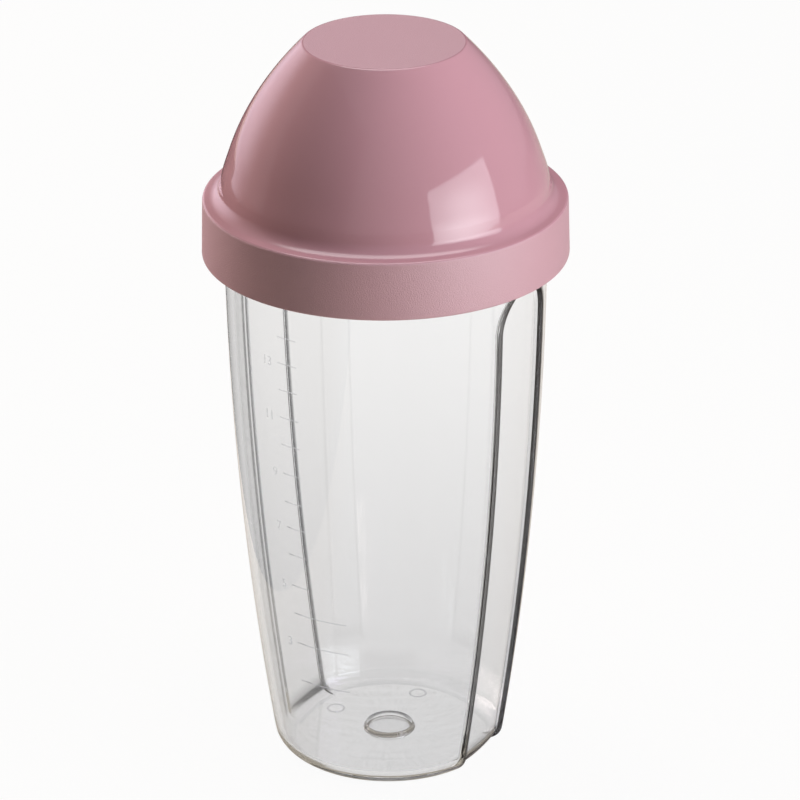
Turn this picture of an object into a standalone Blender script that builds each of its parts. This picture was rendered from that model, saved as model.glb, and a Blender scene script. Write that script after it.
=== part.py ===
"""Shaker cup: a clear cup with two grip panels, a strainer, a seal ring and a domed screw lid.

The cup stands on Z = 0, centred on the Z axis, and its grip panels face +X and -X. Every piece is turned
about that axis, so every object's origin lies on the axis that the lid turns about and lifts along.
"""

import math

import bmesh
import bpy

# Driving dimensions, in metres. Names that end in SHARE, EXPONENT or TURNS are plain numbers.

# Cup wall: the outer radius grows from the foot to the mouth with a power of the height
CUP_HEIGHT = 0.1450
MOUTH_RADIUS = 0.0396
FOOT_RADIUS = 0.0286
TAPER_EXPONENT = 2.08
CUP_WALL = 0.0018
CUP_FLOOR = 0.0026
FOOT_FILLET = 0.0044
RIM_CHAMFER = 0.0004

# Gate boss in the middle of the floor, hollowed from below
BOSS_RADIUS = 0.0066
BOSS_RISE = 0.0012
BOSS_SLOPE = 0.0007

# Stepped neck under the lid's collar: an outer shoulder, and an inner ledge that carries the strainer
NECK_STEP = 0.0012
LEDGE_DROP = 0.0060

# Grip panels: recesses with a rounded top that run out through the foot
PANEL_MARGIN = 0.0034
PANEL_TOP_WIDTH = 0.0198
PANEL_FOOT_WIDTH = 0.0184
PANEL_EDGE_DEPTH = 0.0012
PANEL_MIDDLE_DEPTH = 0.0020
PANEL_STEP_RUN = 0.0005
PANEL_CORNER_SHARE = 0.95

# Closure ribs: a quick thread with several starts, outside the neck and inside the collar
RIB_STARTS = 4
RIB_LEAD = 0.0240
RIB_WIDTH = 0.0016
NECK_RIB_HEIGHT = 0.0016
COLLAR_RIB_HEIGHT = 0.0018
RIB_ROOT = 0.0005
RIB_CREST_SHARE = 0.75

# Clearances between pieces
SEAT_GAP = 0.0003
RIB_CLEARANCE = 0.0006
SKIRT_CLEARANCE = 0.0004
STRAINER_CLEARANCE = 0.0005

# Seal ring, under the lid's ledge
SEAL_THICKNESS = 0.0017
SEAL_CHAMFER = 0.0003

# Strainer: a slotted dish that hangs by its flange
STRAINER_PLATE = 0.0014
DISH_DEPTH = 0.0034
SLOT_LENGTH = 0.0050
SLOT_WIDTH = 0.0026
SLOT_WEB = 0.0030
SLOT_RING_GAP = 0.0021
CENTRE_RADIUS = 0.0050

# Lid: collar, ledge and dome in one moulding
LID_WALL = 0.0020
SKIRT_WALL = 0.0012
COLLAR_OVERHANG = 0.0013
COLLAR_DRAFT = 0.0004
COLLAR_EDGE = 0.0004
LEDGE_FILLET = 0.0038
DOME_SETBACK = 0.0006
DOME_HEIGHT = 0.0391
DISC_RADIUS = 0.0198
DISC_EDGE = 0.0004
DOME_RISE_EXPONENT = 1.73
DOME_ROUND_EXPONENT = 1.28
DOME_FLARE = 0.00045
FLARE_REACH = 0.0079
FLARE_EXPONENT = 4.0

# Overrun of every cutter past the face that it cuts
OVERRUN = 0.0010

# How finely the pieces are divided
TURNED_SEGMENTS = 60
FACE_COLUMNS = 8
WALL_COLUMNS = 22
WALL_LEVELS = 7
CORNER_LEVELS = 3
FILLET_LEVELS = 3
DOME_LEVELS = 9
LEDGE_LEVELS = 5
RIB_SEGMENTS = 14

# The panels' rounded tops: the wall's levels follow each corner for this turn, then cross over the top
CORNER_TURN = math.pi / 4
CORNER_REACH_SHARE = 1.6

# Sizes that follow from the ones above
SHOULDER_TOP = CUP_HEIGHT - LEDGE_DROP - CUP_WALL
SHOULDER_BOTTOM = SHOULDER_TOP - NECK_STEP
LEDGE_TOP = CUP_HEIGHT - LEDGE_DROP
NECK_RADIUS = MOUTH_RADIUS + NECK_STEP
NECK_BORE = NECK_RADIUS - CUP_WALL
PANEL_TOP = SHOULDER_BOTTOM - PANEL_MARGIN
PANEL_CORNER = PANEL_CORNER_SHARE * PANEL_TOP_WIDTH / 2
COLUMN_SHARES = [2 * column / FACE_COLUMNS - 1 for column in range(FACE_COLUMNS + 1)]

COLLAR_BORE = NECK_RADIUS + NECK_RIB_HEIGHT + RIB_CLEARANCE
COLLAR_RADIUS = COLLAR_BORE + LID_WALL
COLLAR_BOTTOM = SHOULDER_BOTTOM - COLLAR_OVERHANG
SEAL_BOTTOM = CUP_HEIGHT + SEAT_GAP
GROOVE_TOP = SEAL_BOTTOM + SEAL_THICKNESS + SEAT_GAP
LID_LEDGE = GROOVE_TOP + LID_WALL
SKIRT_RADIUS = NECK_BORE - SKIRT_CLEARANCE
SKIRT_BORE = SKIRT_RADIUS - SKIRT_WALL
DOME_RADIUS = SKIRT_BORE + DOME_SETBACK + LID_WALL
FLANGE_BOTTOM = LEDGE_TOP + SEAT_GAP
FLANGE_TOP = FLANGE_BOTTOM + STRAINER_PLATE


def clear_scene():
    """Remove every object, so that the script can be run again."""
    for existing in list(bpy.data.objects):
        bpy.data.objects.remove(existing, do_unlink=True)


def plastic(name, colour, roughness, transmission, ior):
    """A Principled material for one moulding."""
    material = bpy.data.materials.new(name)
    material.use_nodes = True
    shader = material.node_tree.nodes["Principled BSDF"]
    shader.inputs["Base Color"].default_value = (*colour, 1.0)
    shader.inputs["Roughness"].default_value = roughness
    shader.inputs["Metallic"].default_value = 0.0
    shader.inputs["Transmission Weight"].default_value = transmission
    shader.inputs["IOR"].default_value = ior
    return material


def new_object(name, bm, material=None):
    """Turn a bmesh into a named object with smooth round faces and sharp edges."""
    mesh = bpy.data.meshes.new(name)
    bm.to_mesh(mesh)
    bm.free()
    mesh.shade_smooth()
    mesh.set_sharp_from_angle(angle=math.radians(30))
    thing = bpy.data.objects.new(name, mesh)
    bpy.context.collection.objects.link(thing)
    if material is not None:
        mesh.materials.append(material)
    return thing


def turned(name, profile, material, closed):
    """Spin a profile of (radius, height) points about Z; a closed profile makes a ring."""
    bm = bmesh.new()
    verts = [bm.verts.new((radius, 0, height)) for radius, height in profile]
    edges = [bm.edges.new(pair) for pair in zip(verts, verts[1:])]
    if closed:
        edges.append(bm.edges.new((verts[-1], verts[0])))
    bmesh.ops.spin(
        bm,
        geom=verts + edges,
        cent=(0, 0, 0),
        axis=(0, 0, 1),
        angle=math.tau,
        steps=TURNED_SEGMENTS,
        use_merge=True,
    )
    bmesh.ops.remove_doubles(bm, verts=bm.verts, dist=SEAT_GAP / 100)
    bmesh.ops.recalc_face_normals(bm, faces=bm.faces)
    return new_object(name, bm, material)


def hide_tool(tool):
    """Mark an object that only shapes another."""
    tool.hide_render = True
    tool.display_type = "WIRE"


def combine(target, tool, operation):
    """Join a hidden tool to a piece, or cut it away, with a live Boolean modifier."""
    hide_tool(tool)
    modifier = target.modifiers.new(tool.name, "BOOLEAN")
    modifier.operation = operation
    modifier.solver = "EXACT"
    modifier.object = tool


def wall_radius(height):
    """Outer radius of the round cup wall at a height."""
    share_below_rim = 1 - min(max(height, 0), CUP_HEIGHT) / CUP_HEIGHT
    return MOUTH_RADIUS - (MOUTH_RADIUS - FOOT_RADIUS) * share_below_rim**TAPER_EXPONENT


def skin_radius(height, inset, floor):
    """Radius of one round skin of the cup at a height, with the foot's fillet."""
    fillet = FOOT_FILLET - inset
    drop = max(1 - (height - floor) / fillet, 0)
    return wall_radius(height) - inset - fillet * (1 - math.sqrt(1 - drop**2))


def corner_point(turn, inset, extra):
    """(across, height) on a panel's outline round its top; turn is 0 at the side, a quarter at the top."""
    reach = PANEL_CORNER + inset + extra
    flat = (PANEL_TOP_WIDTH / 2 - PANEL_CORNER) * (1 - 2 * turn / math.pi)
    return flat + reach * math.cos(turn), PANEL_TOP - PANEL_CORNER + reach * math.sin(turn)


def cup_level(outline, step, inset, floor, depth_share):
    """One level of a skin: each panel's columns, then the round wall's, for both panels.

    outline lists (across, height) on the panel, step is the one point beside its edge, and depth_share
    scales the panel's depth, which grows from its edges to its middle.
    """
    half_turn = []
    for share, (across, height) in zip(COLUMN_SHARES, outline):
        crown = (PANEL_MIDDLE_DEPTH - PANEL_EDGE_DEPTH) * (1 - share**2)
        radius = skin_radius(height, inset, floor)
        depth = (PANEL_EDGE_DEPTH + crown) * depth_share
        half_turn.append((math.asin(across / radius), radius - depth, height))
    across, height = step
    radius = skin_radius(height, inset, floor)
    first = math.asin(across / radius)
    for column in range(WALL_COLUMNS + 1):
        angle = first + (math.pi - 2 * first) * column / WALL_COLUMNS
        half_turn.append((angle, radius, height))
    return [
        (radius * math.cos(angle + turn), radius * math.sin(angle + turn), height)
        for turn in (0, math.pi)
        for angle, radius, height in half_turn
    ]


def side_levels(inset, floor):
    """Levels from the flat of the base, round the fillet and up the panel's straight sides."""
    fillet = FOOT_FILLET - inset
    corner_start = PANEL_TOP - PANEL_CORNER
    heights = []
    for level in range(FILLET_LEVELS):
        heights.append(floor + fillet * (1 - math.cos(math.pi / 2 * level / FILLET_LEVELS)))
    for level in range(WALL_LEVELS + 1):
        heights.append(floor + fillet + (corner_start - floor - fillet) * level / WALL_LEVELS)
    levels = []
    for height in heights:
        width = PANEL_FOOT_WIDTH + (PANEL_TOP_WIDTH - PANEL_FOOT_WIDTH) * height / corner_start
        half_width = width / 2 + inset
        outline = [(share * half_width, height) for share in COLUMN_SHARES]
        levels.append(cup_level(outline, (half_width + PANEL_STEP_RUN, height), inset, floor, 1))
    return levels


def arch_level(inset, floor, extra, ease, step, depth_share):
    """A level whose panel columns end on the rounded top; ease pulls its ends up along the outline."""
    sweep = math.pi / 2 - CORNER_TURN - ease
    outline = [corner_point(math.pi / 2 - share * sweep, inset, extra) for share in COLUMN_SHARES]
    return cup_level(outline, step, inset, floor, depth_share)


def cup_skin(inset, floor):
    """Every level of one skin of the cup, up to the one that closes the panels' rounded tops."""
    levels = side_levels(inset, floor)
    for level in range(1, CORNER_LEVELS):
        turn = CORNER_TURN * level / CORNER_LEVELS
        half_width, height = corner_point(turn, inset, 0)
        outline = [(share * half_width, height) for share in COLUMN_SHARES]
        levels.append(cup_level(outline, corner_point(turn, inset, PANEL_STEP_RUN), inset, floor, 1))
    ease = PANEL_STEP_RUN / PANEL_CORNER / 2
    below = corner_point(CORNER_TURN - ease, inset, PANEL_STEP_RUN)
    beyond = corner_point(CORNER_TURN, inset, PANEL_STEP_RUN * CORNER_REACH_SHARE)
    levels.append(arch_level(inset, floor, 0, 0, below, 1))
    levels.append(arch_level(inset, floor, PANEL_STEP_RUN, ease, beyond, 0))
    return levels


def round_level(height, radius):
    """A round level of the cup, with its columns at the same angles as above the panels."""
    level = []
    for x, y, _ in cup_skin(0, 0)[-1]:
        scale = radius / math.hypot(x, y)
        level.append((x * scale, y * scale, height))
    return level


def loft(name, levels, material):
    """Join level to level and close both ends. Levels run from the underside, out, up, in and down."""
    bm = bmesh.new()
    rings = [[bm.verts.new(point) for point in level] for level in levels]
    for lower, upper in zip(rings, rings[1:]):
        for column in range(len(lower)):
            after = (column + 1) % len(lower)
            bm.faces.new((lower[column], lower[after], upper[after], upper[column]))
    bm.faces.new(reversed(rings[0]))
    bm.faces.new(rings[-1])
    return new_object(name, bm, material)


def closure_ribs(name, root, crest, first_height, last_height):
    """Helical ribs, one for each start, from a buried root radius to a crest radius."""
    bm = bmesh.new()
    span = math.tau * (last_height - first_height) / RIB_LEAD
    root_half = RIB_WIDTH / 2
    crest_half = root_half * RIB_CREST_SHARE
    for start in range(RIB_STARTS):
        sections = []
        for segment in range(RIB_SEGMENTS + 1):
            along = segment / RIB_SEGMENTS
            angle = math.tau * start / RIB_STARTS + span * along
            middle = first_height + (last_height - first_height) * along
            corners = (
                (root, middle - root_half),
                (crest, middle - crest_half),
                (crest, middle + crest_half),
                (root, middle + root_half),
            )
            section = [(r * math.cos(angle), r * math.sin(angle), z) for r, z in corners]
            sections.append([bm.verts.new(point) for point in section])
        for before, after in zip(sections, sections[1:]):
            for corner in range(4):
                other = (corner + 1) % 4
                bm.faces.new((before[corner], before[other], after[other], after[corner]))
        bm.faces.new(reversed(sections[0]))
        bm.faces.new(sections[-1])
    bmesh.ops.recalc_face_normals(bm, faces=bm.faces)
    return new_object(name, bm)


def make_cup():
    """The clear cup: base and boss, panelled wall, shoulder, rim, ledge, and the same again inside."""
    material = plastic("clear_styrene", (0.95, 0.96, 0.97), 0.03, 1.0, 1.57)
    boss_top = CUP_FLOOR + BOSS_RISE
    levels = [
        round_level(BOSS_RISE, BOSS_RADIUS - BOSS_SLOPE - CUP_WALL / 2),
        round_level(0, BOSS_RADIUS - CUP_WALL / 2),
    ]
    levels += cup_skin(0, 0)
    levels += [
        round_level(SHOULDER_BOTTOM, MOUTH_RADIUS),
        round_level(SHOULDER_TOP, NECK_RADIUS),
        round_level(CUP_HEIGHT - RIM_CHAMFER, NECK_RADIUS),
        round_level(CUP_HEIGHT, NECK_RADIUS - RIM_CHAMFER),
        round_level(CUP_HEIGHT, NECK_BORE + RIM_CHAMFER),
        round_level(CUP_HEIGHT - RIM_CHAMFER, NECK_BORE),
        round_level(LEDGE_TOP, NECK_BORE),
        round_level(LEDGE_TOP, MOUTH_RADIUS - CUP_WALL),
    ]
    levels += reversed(cup_skin(CUP_WALL, CUP_FLOOR))
    levels += [
        round_level(CUP_FLOOR, BOSS_RADIUS),
        round_level(boss_top, BOSS_RADIUS - BOSS_SLOPE),
    ]
    cup = loft("cup", levels, material)
    ribs = closure_ribs(
        "neck_ribs",
        NECK_RADIUS - RIB_ROOT,
        NECK_RADIUS + NECK_RIB_HEIGHT,
        SHOULDER_TOP + RIB_WIDTH,
        CUP_HEIGHT - RIB_WIDTH,
    )
    combine(cup, ribs, "UNION")


def slot_cutter():
    """Radial slots in rings, as many to a ring as leave a full web between them."""
    bm = bmesh.new()
    outer_limit = MOUTH_RADIUS - CUP_WALL - STRAINER_CLEARANCE - STRAINER_PLATE
    pitch = SLOT_LENGTH + SLOT_RING_GAP
    rings = int((outer_limit - CENTRE_RADIUS + SLOT_RING_GAP / 2) / pitch)
    floor_bottom = FLANGE_TOP - DISH_DEPTH - STRAINER_PLATE
    low, high = floor_bottom - OVERRUN, floor_bottom + STRAINER_PLATE + OVERRUN
    for ring in range(rings):
        inner = CENTRE_RADIUS + pitch * ring
        count = int(math.tau * inner / (SLOT_WIDTH + SLOT_WEB))
        for slot in range(count):
            angle = math.tau * slot / count
            outward = (math.cos(angle), math.sin(angle))
            across = (-outward[1], outward[0])
            corners = []
            for radius, side in ((inner, -1), (inner + SLOT_LENGTH, -1), (inner + SLOT_LENGTH, 1), (inner, 1)):
                offset = side * SLOT_WIDTH / 2
                x = radius * outward[0] + offset * across[0]
                y = radius * outward[1] + offset * across[1]
                corners.append((x, y))
            base = [bm.verts.new((x, y, low)) for x, y in corners]
            face = bm.faces.new(reversed(base))
            raised = bmesh.ops.extrude_face_region(bm, geom=[face], use_keep_orig=True)
            top = [item for item in raised["geom"] if isinstance(item, bmesh.types.BMVert)]
            bmesh.ops.translate(bm, verts=top, vec=(0, 0, high - low))
    bmesh.ops.recalc_face_normals(bm, faces=bm.faces)
    return new_object("slot_cutter", bm)


def make_strainer():
    """The strainer: a flange on the cup's ledge, a short wall and a slotted floor."""
    material = plastic("strainer_white", (0.86, 0.86, 0.84), 0.45, 0.0, 1.49)
    flange = NECK_BORE - SEAT_GAP
    outside = MOUTH_RADIUS - CUP_WALL - STRAINER_CLEARANCE
    inside = outside - STRAINER_PLATE
    floor_top = FLANGE_TOP - DISH_DEPTH
    profile = [
        (0, floor_top - STRAINER_PLATE),
        (outside, floor_top - STRAINER_PLATE),
        (outside, FLANGE_BOTTOM),
        (flange, FLANGE_BOTTOM),
        (flange, FLANGE_TOP),
        (inside, FLANGE_TOP),
        (inside, floor_top),
        (0, floor_top),
    ]
    strainer = turned("strainer_insert", profile, material, closed=False)
    combine(strainer, slot_cutter(), "DIFFERENCE")


def make_seal():
    """The seal: a flat ring with chamfered edges, held in the lid's groove."""
    material = plastic("seal_silicone", (0.80, 0.80, 0.78), 0.60, 0.0, 1.41)
    inner = SKIRT_RADIUS + SEAT_GAP
    outer = COLLAR_BORE - SEAT_GAP
    top = SEAL_BOTTOM + SEAL_THICKNESS
    profile = [
        (inner, SEAL_BOTTOM + SEAL_CHAMFER),
        (inner + SEAL_CHAMFER, SEAL_BOTTOM),
        (outer - SEAL_CHAMFER, SEAL_BOTTOM),
        (outer, SEAL_BOTTOM + SEAL_CHAMFER),
        (outer, top - SEAL_CHAMFER),
        (outer - SEAL_CHAMFER, top),
        (inner + SEAL_CHAMFER, top),
        (inner, top - SEAL_CHAMFER),
    ]
    turned("seal_ring", profile, material, closed=True)


def dome_radius(height, inset):
    """Radius of the dome at a height above the ledge, for a skin that lies inset inside the outer one."""
    disc_share = (DISC_RADIUS / DOME_RADIUS) ** DOME_ROUND_EXPONENT
    apex = DOME_HEIGHT / (1 - disc_share) ** (1 / DOME_RISE_EXPONENT)
    fall = (height / (apex - inset)) ** DOME_RISE_EXPONENT
    return (DOME_RADIUS - inset) * (1 - fall) ** (1 / DOME_ROUND_EXPONENT)


def outer_dome_radius(height):
    """Radius of the dome's outer skin, which flares a little at its foot."""
    return dome_radius(height, 0) + DOME_FLARE * math.exp(-((height / FLARE_REACH) ** FLARE_EXPONENT))


def lid_profile():
    """The lid's section: down the inside, round the skirt, groove and collar, and up the outside."""
    inner_top = DOME_HEIGHT - LID_WALL
    profile = [(0, LID_LEDGE + inner_top)]
    for level in range(DOME_LEVELS + 1):
        height = inner_top * (1 - level / DOME_LEVELS)
        profile.append((dome_radius(height, LID_WALL), LID_LEDGE + height))
    profile += [
        (SKIRT_BORE, LID_LEDGE - DOME_SETBACK),
        (SKIRT_BORE, FLANGE_TOP + SEAT_GAP),
        (SKIRT_RADIUS, FLANGE_TOP + SEAT_GAP),
        (SKIRT_RADIUS, GROOVE_TOP),
        (COLLAR_BORE, GROOVE_TOP),
        (COLLAR_BORE, COLLAR_BOTTOM),
        (COLLAR_RADIUS - COLLAR_EDGE, COLLAR_BOTTOM),
        (COLLAR_RADIUS, COLLAR_BOTTOM + COLLAR_EDGE),
        (COLLAR_RADIUS - COLLAR_DRAFT, LID_LEDGE - COLLAR_EDGE),
        (COLLAR_RADIUS - COLLAR_DRAFT - COLLAR_EDGE, LID_LEDGE),
    ]
    fillet_radius = outer_dome_radius(LEDGE_FILLET) + LEDGE_FILLET
    for level in range(LEDGE_LEVELS + 1):
        angle = math.pi / 2 * level / LEDGE_LEVELS
        radius = fillet_radius - LEDGE_FILLET * math.sin(angle)
        profile.append((radius, LID_LEDGE + LEDGE_FILLET * (1 - math.cos(angle))))
    rise = DOME_HEIGHT - DISC_EDGE - LEDGE_FILLET
    for level in range(1, DOME_LEVELS + 1):
        height = LEDGE_FILLET + rise * level / DOME_LEVELS
        profile.append((outer_dome_radius(height), LID_LEDGE + height))
    top = LID_LEDGE + DOME_HEIGHT
    profile += [(DISC_RADIUS - DISC_EDGE, top), (0, top)]
    return profile


def make_lid():
    """The lid: one turned moulding with ribs inside its collar, just under the neck's ribs."""
    material = plastic("dusty_pink", (0.55, 0.27, 0.31), 0.25, 0.0, 1.49)
    lid = turned("lid", lid_profile(), material, closed=False)
    below = RIB_WIDTH + SEAT_GAP
    ribs = closure_ribs(
        "collar_ribs",
        COLLAR_BORE + RIB_ROOT,
        COLLAR_BORE - COLLAR_RIB_HEIGHT,
        SHOULDER_TOP + RIB_WIDTH - below,
        CUP_HEIGHT - RIB_WIDTH - below,
    )
    combine(lid, ribs, "UNION")


clear_scene()
make_cup()
make_strainer()
make_seal()
make_lid()
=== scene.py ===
"""A clear shaker cup with a dusty pink screw lid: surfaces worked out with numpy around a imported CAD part."""

# %% [markdown]
# # A shaker cup
#
# The object is a clear moulded cup with two recessed grip panels, and a dusty pink lid that screws on over
# it. Inside, out of sight until the lid comes off, are a soft seal ring and a slotted strainer. The solid
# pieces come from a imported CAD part, and this lesson gives each of them the surface and finish of the real
# one. Lengths are in metres. The cup stands on the floor at the origin, and its panels face +X and -X.

import math

import bpy
import numpy as np
from mathutils import Matrix


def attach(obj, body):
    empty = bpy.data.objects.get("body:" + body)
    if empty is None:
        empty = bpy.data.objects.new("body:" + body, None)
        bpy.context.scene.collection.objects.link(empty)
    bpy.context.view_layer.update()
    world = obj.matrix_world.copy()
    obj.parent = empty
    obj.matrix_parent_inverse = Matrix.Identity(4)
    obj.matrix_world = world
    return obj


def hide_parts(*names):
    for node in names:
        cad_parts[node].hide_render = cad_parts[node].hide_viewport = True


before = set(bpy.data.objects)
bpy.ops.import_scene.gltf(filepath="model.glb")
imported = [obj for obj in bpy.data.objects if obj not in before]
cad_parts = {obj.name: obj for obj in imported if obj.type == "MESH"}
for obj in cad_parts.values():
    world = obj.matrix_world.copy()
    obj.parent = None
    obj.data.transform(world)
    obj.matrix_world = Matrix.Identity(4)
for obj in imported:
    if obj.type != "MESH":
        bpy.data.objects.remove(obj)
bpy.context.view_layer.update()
print("CAD nodes:", sorted(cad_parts))

MM = 0.001

# %% [markdown]
# ## Meshes from grids
#
# Every new piece is a grid of points: rows along a profile, and columns round the axis. A grid becomes a mesh
# by joining each point to its neighbours with four-sided faces. The whole array goes into Blender in one
# call, which is much faster than adding points one by one. The first and last rows are closed with one flat
# face each, or joined to each other, because a real moulding is a closed body.

# %% Grid to mesh


def polar(radius, angle, height):
    """Points round the axis: x and y are the radius times the cosine and the sine of the angle."""
    return np.stack(np.broadcast_arrays(radius * np.cos(angle), radius * np.sin(angle), height), -1)


def grid_faces(rows, columns, loop=False):
    """Faces of a grid whose rows close on themselves: each joins a point, the next, and the two above.

    In a loop, the last row is joined to the first one in the same way.
    """
    row, column = np.mgrid[0 : rows if loop else rows - 1, 0:columns]
    above, after = (row + 1) % rows, (column + 1) % columns
    corners = [row * columns + column, row * columns + after]
    corners += [above * columns + after, above * columns + column]
    return np.stack(corners, -1).reshape(-1, 4)


def closed_faces(rows, columns):
    """Faces of a closed body: the grid's, then one flat face for the first row and one for the last."""
    row = np.arange(columns)
    return grid_faces(rows, columns).tolist() + [row[::-1].tolist(), (row + (rows - 1) * columns).tolist()]


def add_object(name, mesh):
    """Put a mesh into the scene as a smoothly shaded object."""
    mesh.shade_smooth()
    piece = bpy.data.objects.new(name, mesh)
    bpy.context.collection.objects.link(piece)
    print(f"{name}: {len(mesh.vertices)} points, {len(mesh.polygons)} faces")
    return piece


def add_mesh(name, points, faces):
    """Make an object from an (n, 3) array of points and a list of faces given as lists of point numbers."""
    mesh = bpy.data.meshes.new(name)
    mesh.from_pydata(points, [], faces)
    mesh.validate()
    return add_object(name, mesh)


def closed_grid(name, radius, angle, height, shade=None):
    """A closed body from (rows, columns) arrays of radius, angle and height.

    A fourth array, if there is one, is kept on the points as an attribute that a material can read.
    """
    points = polar(radius, angle, height).reshape(-1, 3)
    piece = add_mesh(name, points, closed_faces(*radius.shape))
    if shade is not None:
        # The fourth array is painted shade, which the clear material mixes into its colour.
        layer = piece.data.attributes.new("painted_shade", "FLOAT", "POINT")
        layer.data.foreach_set("value", shade.astype(np.float32).ravel())
    return piece


print("faces of three rows of four:", len(closed_faces(3, 4)))

# %% [markdown]
# ## Profiles with rounded corners
#
# A mould is cut with small rounded corners, and it is these that catch the light. So a profile is a list of
# corners, each with its radius, its height and the size of its rounding, and the helper replaces every corner
# by an arc that touches both of its sides.

# %% Rounded profiles
NEARLY_STRAIGHT = math.pi - 1e-3


def rounded_profile(corners, steps=5):
    """(n, 2) points of a line through (radius, height, rounding) corners, each replaced by an arc.

    The arc starts and ends at the rounding times the tangent of half the corner's turn, and its points are
    spread evenly over the turn.
    """
    corners = np.array(corners, float)
    line = [corners[:1, :2]]
    for before, here, after in zip(corners, corners[1:], corners[2:]):
        back = (before - here)[:2] / np.hypot(*(before - here)[:2])
        on = (after - here)[:2] / np.hypot(*(after - here)[:2])
        opening = math.acos(np.clip(back @ on, -1, 1))
        if here[2] == 0 or opening > NEARLY_STRAIGHT:
            line.append(here[None, :2])
            continue
        reach = here[2] / math.tan(opening / 2)
        middle = here[:2] + (back + on) / np.hypot(*(back + on)) * here[2] / math.sin(opening / 2)
        start, end = here[:2] + back * reach - middle, here[:2] + on * reach - middle
        sweep = math.atan2(start[0] * end[1] - start[1] * end[0], start @ end)
        turn = np.linspace(0, sweep, steps + 1)[:, None]
        side = np.array([-start[1], start[0]])
        line.append(middle + start * np.cos(turn) + side * np.sin(turn))
    line.append(corners[-1:, :2])
    return np.concatenate(line)


def spun(profile, columns):
    """Radius, angle and height arrays of a profile turned about Z: each point is carried once round."""
    turn = np.linspace(0, math.tau, columns, endpoint=False)
    return np.broadcast_arrays(profile[:, :1], turn, profile[:, 1:])


print("points at a corner:", len(rounded_profile([(0, 0, 0), (1, 0, 0.2), (1, 1, 0)])))

# %% [markdown]
# ## The closure ribs
#
# The lid is held by a coarse thread with four starts, so that a quarter of a turn closes it. A rib is a small
# swelling of the wall: its middle climbs with the angle, its sides slope, and its ends fade out. The same
# function serves the cup's neck and the lid's collar.

# %% Closure ribs
RIB_STARTS = 4
RIB_LEAD = 24 * MM
RIB_WIDTH = 1.6 * MM
RIB_FLANK = 0.35 * MM
RIB_FADE = math.radians(5)


def smooth(share):
    """The usual S-curve: 0 below 0, 1 above 1, and 3s^2 - 2s^3 between."""
    share = np.clip(share, 0, 1)
    return share * share * (3 - 2 * share)


def rib_rise(angle, height, first, last):
    """How far the ribs stand up, from 0 to 1, where each rib's middle climbs from first to last."""
    rise = np.zeros(np.broadcast(angle, height).shape)
    span = math.tau * (last - first) / RIB_LEAD
    for start in range(RIB_STARTS):
        along = np.mod(angle - math.tau * start / RIB_STARTS, math.tau)
        middle = first + (last - first) * along / span
        across = smooth((RIB_WIDTH / 2 - np.abs(height - middle)) / RIB_FLANK)
        ends = smooth(np.minimum(along, span - along) / RIB_FADE)
        rise = np.maximum(rise, across * ends)
    return rise


print(f"closure: {RIB_STARTS} starts, {RIB_LEAD / MM:.0f} mm a turn")

# %% [markdown]
# ## The cup's skins
#
# The cup is one clear moulding with an outer and an inner skin. The round wall widens from the foot to the
# mouth with a power of the height, and is drawn in along a quarter circle at the foot. It could be sculpted,
# but a formula keeps the two skins one wall's thickness apart.

# %% The round wall
CUP_HEIGHT = 145 * MM
MOUTH_RADIUS = 39.6 * MM
FOOT_RADIUS = 28.6 * MM
TAPER_EXPONENT = 2.08
CUP_WALL = 1.8 * MM
CUP_FLOOR = 2.6 * MM
FOOT_FILLET = 4.4 * MM


def wall_radius(height):
    """Outer radius of the round wall: the mouth's, less a power of the share of the height still above."""
    above = 1 - np.clip(height / CUP_HEIGHT, 0, 1)
    return MOUTH_RADIUS - (MOUTH_RADIUS - FOOT_RADIUS) * above**TAPER_EXPONENT


def skin_radius(height, inset, floor):
    """Radius of a round skin: the wall's less its inset, drawn in along a quarter circle at the foot."""
    fillet = FOOT_FILLET - inset
    drop = np.clip(1 - (height - floor) / fillet, 0, 1)
    return wall_radius(height) - inset - fillet * (1 - np.sqrt(1 - drop**2))


print(f"wall radius at half height: {wall_radius(CUP_HEIGHT / 2) / MM:.1f} mm")

# %% [markdown]
# ## The step round a grip panel
#
# The grip panels are recesses with a rounded top. Outside, their edge is a steep little step, while the
# mould's core gives the inside a soft ramp. A crisp step needs grid lines of its own, over its run and over
# the shoulder beside it. Each point also gets a painted shade, which the material mixes into its colour: it
# darkens the step and its shoulder, for the dark lines that the steep faces of a real clear cup give, as they
# bend away the light behind them.

# %% Steps at the panel's edge
PANEL_TOP = 132.6 * MM
PANEL_TOP_HALF = 9.9 * MM
PANEL_FOOT_HALF = 9.2 * MM
PANEL_EDGE_DEPTH = 1.2 * MM
PANEL_MIDDLE_DEPTH = 2.0 * MM
CORNER_CENTRE = PANEL_TOP - PANEL_TOP_HALF
# A step's shade is painted shade on the cup's colour: full on the outer step, none on the inner ramp.
OUTER_STEP = {"shift": 0.0, "run": 0.45 * MM, "shoulder": 1.7 * MM, "shade": 1.0}
INNER_STEP = {"shift": -1.0 * MM, "run": 2.6 * MM, "shoulder": 0.4 * MM, "shade": 0.0}
RUN_LINES, SHOULDER_LINES = 8, 4
SHADE_POWER = 3
FACE = np.linspace(0, 1, 15)


def step_values(step):
    """The step's offsets from the panel's face, its share of the recess, and its painted shade.

    The recess falls off with the S-curve over the run. The painted shade is full there, and falls off over the
    shoulder with the third power of the S-curve.
    """
    run, shoulder = step["run"], step["shoulder"]
    on_run = np.linspace(0, run, RUN_LINES + 1)[1:]
    offsets = np.concatenate([on_run, run + shoulder * np.arange(1, SHOULDER_LINES + 1) / SHOULDER_LINES])
    shade = 1 - smooth((offsets - run) / shoulder) ** SHADE_POWER
    return offsets, 1 - smooth(offsets / run), shade * step["shade"]


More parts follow.
